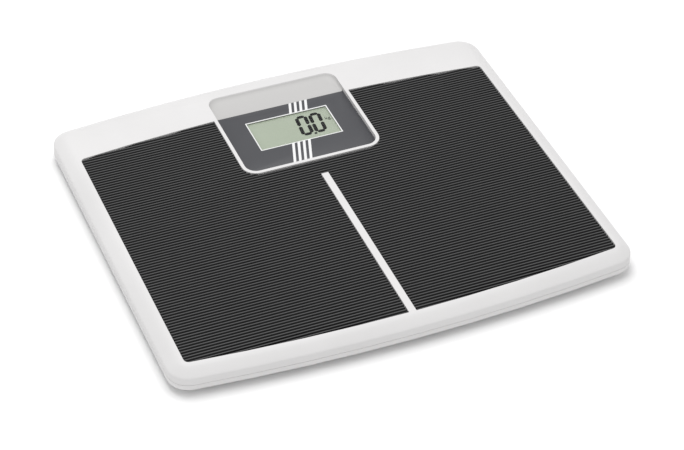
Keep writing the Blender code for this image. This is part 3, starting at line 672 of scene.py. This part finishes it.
digitSet = {
    "height": 24.0 * mm, "width": 8.0 * mm, "stroke": 3.3 * mm, "thick": 0.08 * mm,
    "lean": 0.09, "chop": 0.45 * mm,
    "gap": 0.4 * mm, "taper": 0.35, "lift": 0.02 * mm,
    "firstX": 9.9 * mm, "secondX": 22.3 * mm, "middleY": 94.6 * mm,
    "dotX": 16.7 * mm, "dotY": 81.2 * mm, "dotRadius": 1.3 * mm, "dotRim": 0.02 * mm,
    "unitX": 30.2 * mm, "unitY": 95.6 * mm, "unitSize": 5.6 * mm,
}


def addSegment(s, x, y, length, upright, level):
    deselectAll()
    bpy.ops.mesh.primitive_plane_add(size=1, location=(x, y, level))
    bar = bpy.context.object
    bar.scale = (s["stroke"], length - s["stroke"], 1) if upright else (length - s["stroke"], s["stroke"], 1)
    settlePlace(bar)
    openAll(bar)
    bpy.ops.mesh.extrude_region_move(TRANSFORM_OT_translate={"value": (0, 0, s["thick"])})
    bpy.ops.object.mode_set(mode="OBJECT")
    axis = 1 if upright else 0
    for sign in (-1, 1):          # each end is drawn out to a blunt point
        selectFaces(bar, lambda f: f.normal[axis] * sign > 0.9)
        bpy.ops.mesh.extrude_region_move()
        move = [0, 0, 0]
        move[axis] = sign * (s["stroke"] / 2 - s["chop"])
        squeeze = [1, 1, 1]
        squeeze[1 - axis] = s["taper"]
        bpy.ops.transform.translate(value=move)
        bpy.ops.transform.resize(value=squeeze, center_override=(x, y, level))
        bpy.ops.object.mode_set(mode="OBJECT")
    return bar


def makeDigits(s):
    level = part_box("lcd_glass")[1].z + s["lift"]
    bars = []
    half = s["height"] / 2
    side = s["width"] / 2
    for middleX in (s["firstX"], s["secondX"]):
        for sign in (-1, 1):
            bars.append(addSegment(s, middleX, s["middleY"] + sign * half,
                                   s["width"] - s["gap"], False, level))
            for end in (-1, 1):
                bars.append(addSegment(s, middleX + sign * side, s["middleY"] + end * half / 2,
                                       half - s["gap"], True, level))
    deselectAll()
    bpy.ops.mesh.primitive_cylinder_add(vertices=20, radius=s["dotRadius"], depth=s["thick"],
                                        location=(s["dotX"], s["dotY"], level + s["thick"] / 2))
    dot = bpy.context.object
    settlePlace(dot)
    applyModifier(dot, "BEVEL", width=s["dotRim"], segments=1, limit_method="ANGLE")
    for bar in bars + [dot]:
        bar.select_set(True)
    bpy.context.view_layer.objects.active = dot
    bpy.ops.object.join()
    digits = bpy.context.object
    digits.name = "displayDigits"
    for point in digits.data.vertices:      # the figures lean to the right
        point.co.x += (point.co.y - s["middleY"]) * s["lean"]
    deselectAll()
    bpy.ops.object.text_add(location=(s["unitX"], s["unitY"], level))
    unit = bpy.context.object
    unit.data.body = "kg"
    unit.data.size = s["unitSize"]
    unit.data.extrude = s["thick"] / 2
    takeUp(unit)
    bpy.ops.object.convert(target="MESH")
    settlePlace(unit)
    unit.name = "unitSign"
    for piece in (digits, unit):
        turnOutward(piece)
        piece.data.materials.clear()
        piece.data.materials.append(segmentInk)
        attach(piece, "case")


makeDigits(digitSet)
print("digits ready")


# screws with a cross recess

screwSet = {
    "headDepth": 1.7 * mm, "shankRadius": 1.4 * mm, "threadSteps": 6, "threadShrink": 0.86, "rim": 0.35 * mm,
    "crossWidth": 0.9 * mm, "crossReach": 1.75 * mm, "crossDepth": 1.1 * mm, "crossTaper": 0.6,
}


def makeScrew(s, node, name):
    low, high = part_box(node)
    middle = (low + high) / 2
    head = (high.x - low.x) / 2
    deselectAll()
    bpy.ops.mesh.primitive_cylinder_add(vertices=32, radius=head, depth=s["headDepth"],
                                        location=(middle.x, middle.y, low.z + s["headDepth"] / 2))
    screw = bpy.context.object
    screw.name = name
    settlePlace(screw)
    selectFaces(screw, lambda f: f.normal.z > 0.9)
    bpy.ops.mesh.inset(thickness=head - s["shankRadius"])
    rise = (high.z - low.z - s["headDepth"]) / s["threadSteps"]
    for step in range(s["threadSteps"]):          # shank with shallow thread steps
        bpy.ops.mesh.extrude_region_move(TRANSFORM_OT_translate={"value": (0, 0, rise)})
        shrink = s["threadShrink"] if step % 2 == 0 else 1 / s["threadShrink"]
        bpy.ops.transform.resize(value=(shrink, shrink, 1), center_override=(middle.x, middle.y, 0))
    bpy.ops.object.mode_set(mode="OBJECT")
    roundEdges(screw, s["rim"], 3, 80)
    for turned in (False, True):
        deselectAll()
        bpy.ops.mesh.primitive_cube_add(size=1, location=(middle.x, middle.y, low.z))
        blade = bpy.context.object
        arm = (s["crossReach"] * 2, s["crossWidth"])
        blade.scale = (arm[turned], arm[not turned], s["crossDepth"] * 2)
        settlePlace(blade)
        selectFaces(blade, lambda f: f.normal.z > 0.9)
        bpy.ops.transform.resize(value=(s["crossTaper"], s["crossTaper"], 1),
                                 center_override=(middle.x, middle.y, 0))
        bpy.ops.object.mode_set(mode="OBJECT")
        applyModifier(screw, "BOOLEAN", operation="DIFFERENCE", solver="EXACT", object=blade)
        bpy.data.objects.remove(blade, do_unlink=True)
    return screw


screws = sorted(name for name in nodes if name.startswith("case_screw"))
made = [makeScrew(screwSet, screws[0], "coverScrew_1")]
for number, node in enumerate(screws[1:], 2):
    piece = made[0].copy()
    piece.data = made[0].data.copy()
    piece.name = "coverScrew_" + str(number)
    bpy.context.scene.collection.objects.link(piece)
    piece.data.transform(Matrix.Translation(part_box(node)[0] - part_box(screws[0])[0]))
    made.append(piece)
for piece, node in zip(made, screws):
    finishPiece(piece, node, 30)
print("screws ready")


# foot pads with ring treads

padSet = {
    "rim": 0.5 * mm, "soleArea": 0.0001,
    "rings": 4, "land": 1.7 * mm, "groove": 1.1 * mm, "slope": 0.25 * mm, "depth": 0.6 * mm,
}


def makePad(s, node, name):
    low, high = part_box(node)
    middle = (low + high) / 2
    deselectAll()
    bpy.ops.mesh.primitive_cylinder_add(vertices=64, radius=(high.x - low.x) / 2, depth=high.z - low.z,
                                        location=middle)
    pad = bpy.context.object
    pad.name = name
    settlePlace(pad)
    roundEdges(pad, s["rim"], 3, 60)
    selectFaces(pad, lambda f: f.normal.z < -0.99 and f.area > s["soleArea"])
    for _ in range(s["rings"]):
        bpy.ops.mesh.inset(thickness=s["land"])
        bpy.ops.mesh.inset(thickness=s["slope"])
        bpy.ops.transform.translate(value=(0, 0, s["depth"]))
        bpy.ops.mesh.inset(thickness=s["groove"])
        bpy.ops.mesh.inset(thickness=s["slope"])
        bpy.ops.transform.translate(value=(0, 0, -s["depth"]))
    bpy.ops.object.mode_set(mode="OBJECT")
    return finishPiece(pad, node, 30)


for corner in corners:
    makePad(padSet, "foot_pad_" + corner, "treadPad_" + corner)
print("pads ready")

deselectAll()
